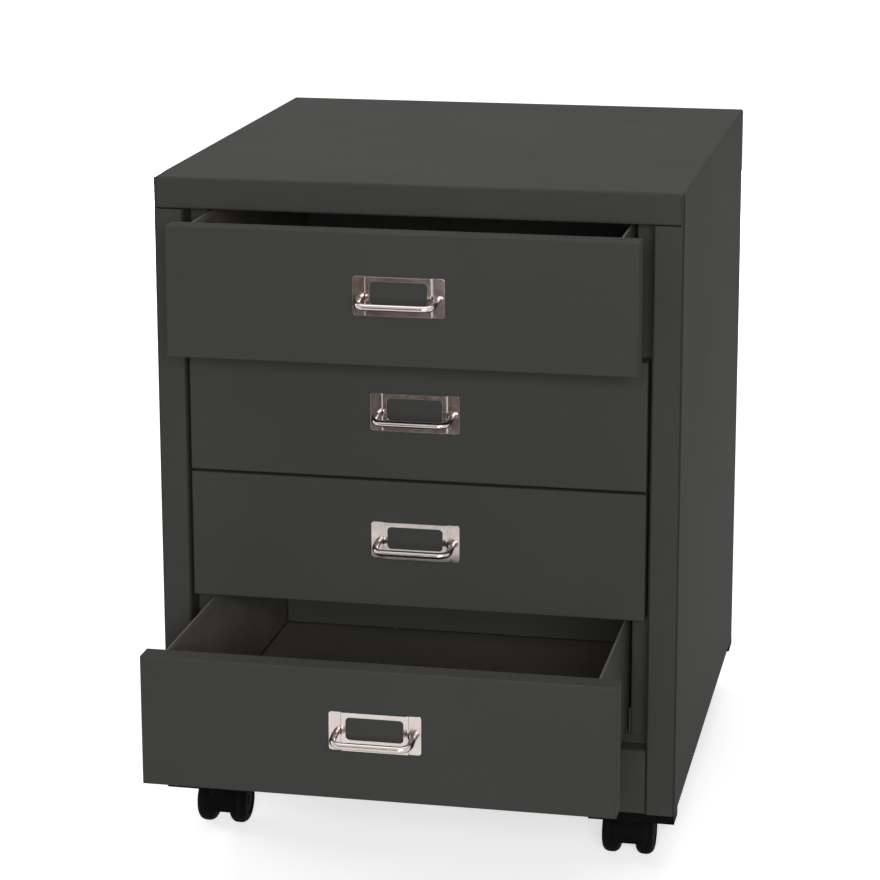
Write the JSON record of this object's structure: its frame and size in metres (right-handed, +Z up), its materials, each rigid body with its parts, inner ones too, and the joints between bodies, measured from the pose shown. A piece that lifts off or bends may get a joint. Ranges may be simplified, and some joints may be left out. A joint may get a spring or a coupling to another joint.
{
  "type": "drawer cabinet",
  "caption": "Low sheet-steel drawer cabinet with equal drawers, label-holder pulls and twin-wheel swivel castors.",
  "frame": {"origin": "on the floor, under the middle of the part's box with the drawers as they stand at rest", "axes": "+X to the right of someone facing the drawers, +Y towards the back, +Z up"},
  "size_m": [0.4, 0.5938, 0.524],
  "materials": {
    "body_paint": "fine satin powder coat, dark grey",
    "tray_paint": "fine satin powder coat, dark grey",
    "bright_fittings": "bright nickel plate, warm",
    "rivet_steel": "rivets painted with the body",
    "runner_steel": "galvanised",
    "zinc_steel": "zinc plated",
    "nylon": "natural nylon",
    "castor_body": "black moulded nylon",
    "castor_wheel": "black moulded nylon, satin"
  },
  "bodies": {
    "cabinet": {"top_panel": "body_paint", "left_side_panel": "body_paint", "right_side_panel": "body_paint", "back_panel": "body_paint", "base_panel": "body_paint", "left_front_post": "body_paint", "right_front_post": "body_paint", "left_rear_post": "body_paint", "right_rear_post": "body_paint", "body_rivets": "rivet_steel", "drawer_1_runners": "runner_steel", "drawer_2_runners": "runner_steel", "drawer_3_runners": "runner_steel", "drawer_4_runners": "runner_steel", "runner_glides": "nylon", "castor_screws": "zinc_steel", "castor_front_left_plate": "castor_body", "castor_front_right_plate": "castor_body", "castor_rear_left_plate": "castor_body", "castor_rear_right_plate": "castor_body"},
    "drawer_1": {"drawer_1_front": "body_paint", "drawer_1_tray": "tray_paint", "drawer_1_back": "tray_paint", "drawer_1_label_holder": "bright_fittings", "drawer_1_pull": "bright_fittings"},
    "drawer_2": {"drawer_2_front": "body_paint", "drawer_2_tray": "tray_paint", "drawer_2_back": "tray_paint", "drawer_2_label_holder": "bright_fittings", "drawer_2_pull": "bright_fittings"},
    "drawer_3": {"drawer_3_front": "body_paint", "drawer_3_tray": "tray_paint", "drawer_3_back": "tray_paint", "drawer_3_label_holder": "bright_fittings", "drawer_3_pull": "bright_fittings"},
    "drawer_4": {"drawer_4_front": "body_paint", "drawer_4_tray": "tray_paint", "drawer_4_back": "tray_paint", "drawer_4_label_holder": "bright_fittings", "drawer_4_pull": "bright_fittings"},
    "castor_front_left": {"castor_front_left_pin": "zinc_steel", "castor_front_left_hood": "castor_body", "castor_front_left_axle": "zinc_steel"},
    "castor_front_left_left_wheel": {"castor_front_left_left_wheel": "castor_wheel"},
    "castor_front_left_right_wheel": {"castor_front_left_right_wheel": "castor_wheel"},
    "castor_front_right": {"castor_front_right_pin": "zinc_steel", "castor_front_right_hood": "castor_body", "castor_front_right_axle": "zinc_steel"},
    "castor_front_right_left_wheel": {"castor_front_right_left_wheel": "castor_wheel"},
    "castor_front_right_right_wheel": {"castor_front_right_right_wheel": "castor_wheel"},
    "castor_rear_left": {"castor_rear_left_pin": "zinc_steel", "castor_rear_left_hood": "castor_body", "castor_rear_left_axle": "zinc_steel"},
    "castor_rear_left_left_wheel": {"castor_rear_left_left_wheel": "castor_wheel"},
    "castor_rear_left_right_wheel": {"castor_rear_left_right_wheel": "castor_wheel"},
    "castor_rear_right": {"castor_rear_right_pin": "zinc_steel", "castor_rear_right_hood": "castor_body", "castor_rear_right_axle": "zinc_steel"},
    "castor_rear_right_left_wheel": {"castor_rear_right_left_wheel": "castor_wheel"},
    "castor_rear_right_right_wheel": {"castor_rear_right_right_wheel": "castor_wheel"}
  },
  "joints": [
    {"name": "drawer_1_slide", "type": "slide", "parent": "cabinet", "child": "drawer_1", "axis": [0, -1, 0], "range_m": [-0.055, 0.245]},
    {"name": "drawer_2_slide", "type": "slide", "parent": "cabinet", "child": "drawer_2", "axis": [0, -1, 0], "range_m": [0, 0.3]},
    {"name": "drawer_3_slide", "type": "slide", "parent": "cabinet", "child": "drawer_3", "axis": [0, -1, 0], "range_m": [0, 0.3]},
    {"name": "drawer_4_slide", "type": "slide", "parent": "cabinet", "child": "drawer_4", "axis": [0, -1, 0], "range_m": [-0.142, 0.158]},
    {"name": "castor_front_left_swivel", "type": "hinge", "parent": "cabinet", "child": "castor_front_left", "pos_m": [-0.162, -0.1139, 0.0375], "axis": [0, 0, 1], "continuous": true},
    {"name": "castor_front_left_left_wheel_spin", "type": "hinge", "parent": "castor_front_left", "child": "castor_front_left_left_wheel", "pos_m": [-0.162, -0.1019, 0.018], "axis": [1, 0, 0], "continuous": true},
    {"name": "castor_front_left_right_wheel_spin", "type": "hinge", "parent": "castor_front_left", "child": "castor_front_left_right_wheel", "pos_m": [-0.162, -0.1019, 0.018], "axis": [1, 0, 0], "continuous": true},
    {"name": "castor_front_right_swivel", "type": "hinge", "parent": "cabinet", "child": "castor_front_right", "pos_m": [0.162, -0.1139, 0.0375], "axis": [0, 0, 1], "continuous": true},
    {"name": "castor_front_right_left_wheel_spin", "type": "hinge", "parent": "castor_front_right", "child": "castor_front_right_left_wheel", "pos_m": [0.162, -0.1019, 0.018], "axis": [1, 0, 0], "continuous": true},
    {"name": "castor_front_right_right_wheel_spin", "type": "hinge", "parent": "castor_front_right", "child": "castor_front_right_right_wheel", "pos_m": [0.162, -0.1019, 0.018], "axis": [1, 0, 0], "continuous": true},
    {"name": "castor_rear_left_swivel", "type": "hinge", "parent": "cabinet", "child": "castor_rear_left", "pos_m": [-0.162, 0.2761, 0.0375], "axis": [0, 0, 1], "continuous": true},
    {"name": "castor_rear_left_left_wheel_spin", "type": "hinge", "parent": "castor_rear_left", "child": "castor_rear_left_left_wheel", "pos_m": [-0.162, 0.2641, 0.018], "axis": [1, 0, 0], "continuous": true},
    {"name": "castor_rear_left_right_wheel_spin", "type": "hinge", "parent": "castor_rear_left", "child": "castor_rear_left_right_wheel", "pos_m": [-0.162, 0.2641, 0.018], "axis": [1, 0, 0], "continuous": true},
    {"name": "castor_rear_right_swivel", "type": "hinge", "parent": "cabinet", "child": "castor_rear_right", "pos_m": [0.162, 0.2761, 0.0375], "axis": [0, 0, 1], "continuous": true},
    {"name": "castor_rear_right_left_wheel_spin", "type": "hinge", "parent": "castor_rear_right", "child": "castor_rear_right_left_wheel", "pos_m": [0.162, 0.2641, 0.018], "axis": [1, 0, 0], "continuous": true},
    {"name": "castor_rear_right_right_wheel_spin", "type": "hinge", "parent": "castor_rear_right", "child": "castor_rear_right_right_wheel", "pos_m": [0.162, 0.2641, 0.018], "axis": [1, 0, 0], "continuous": true}
  ]
}
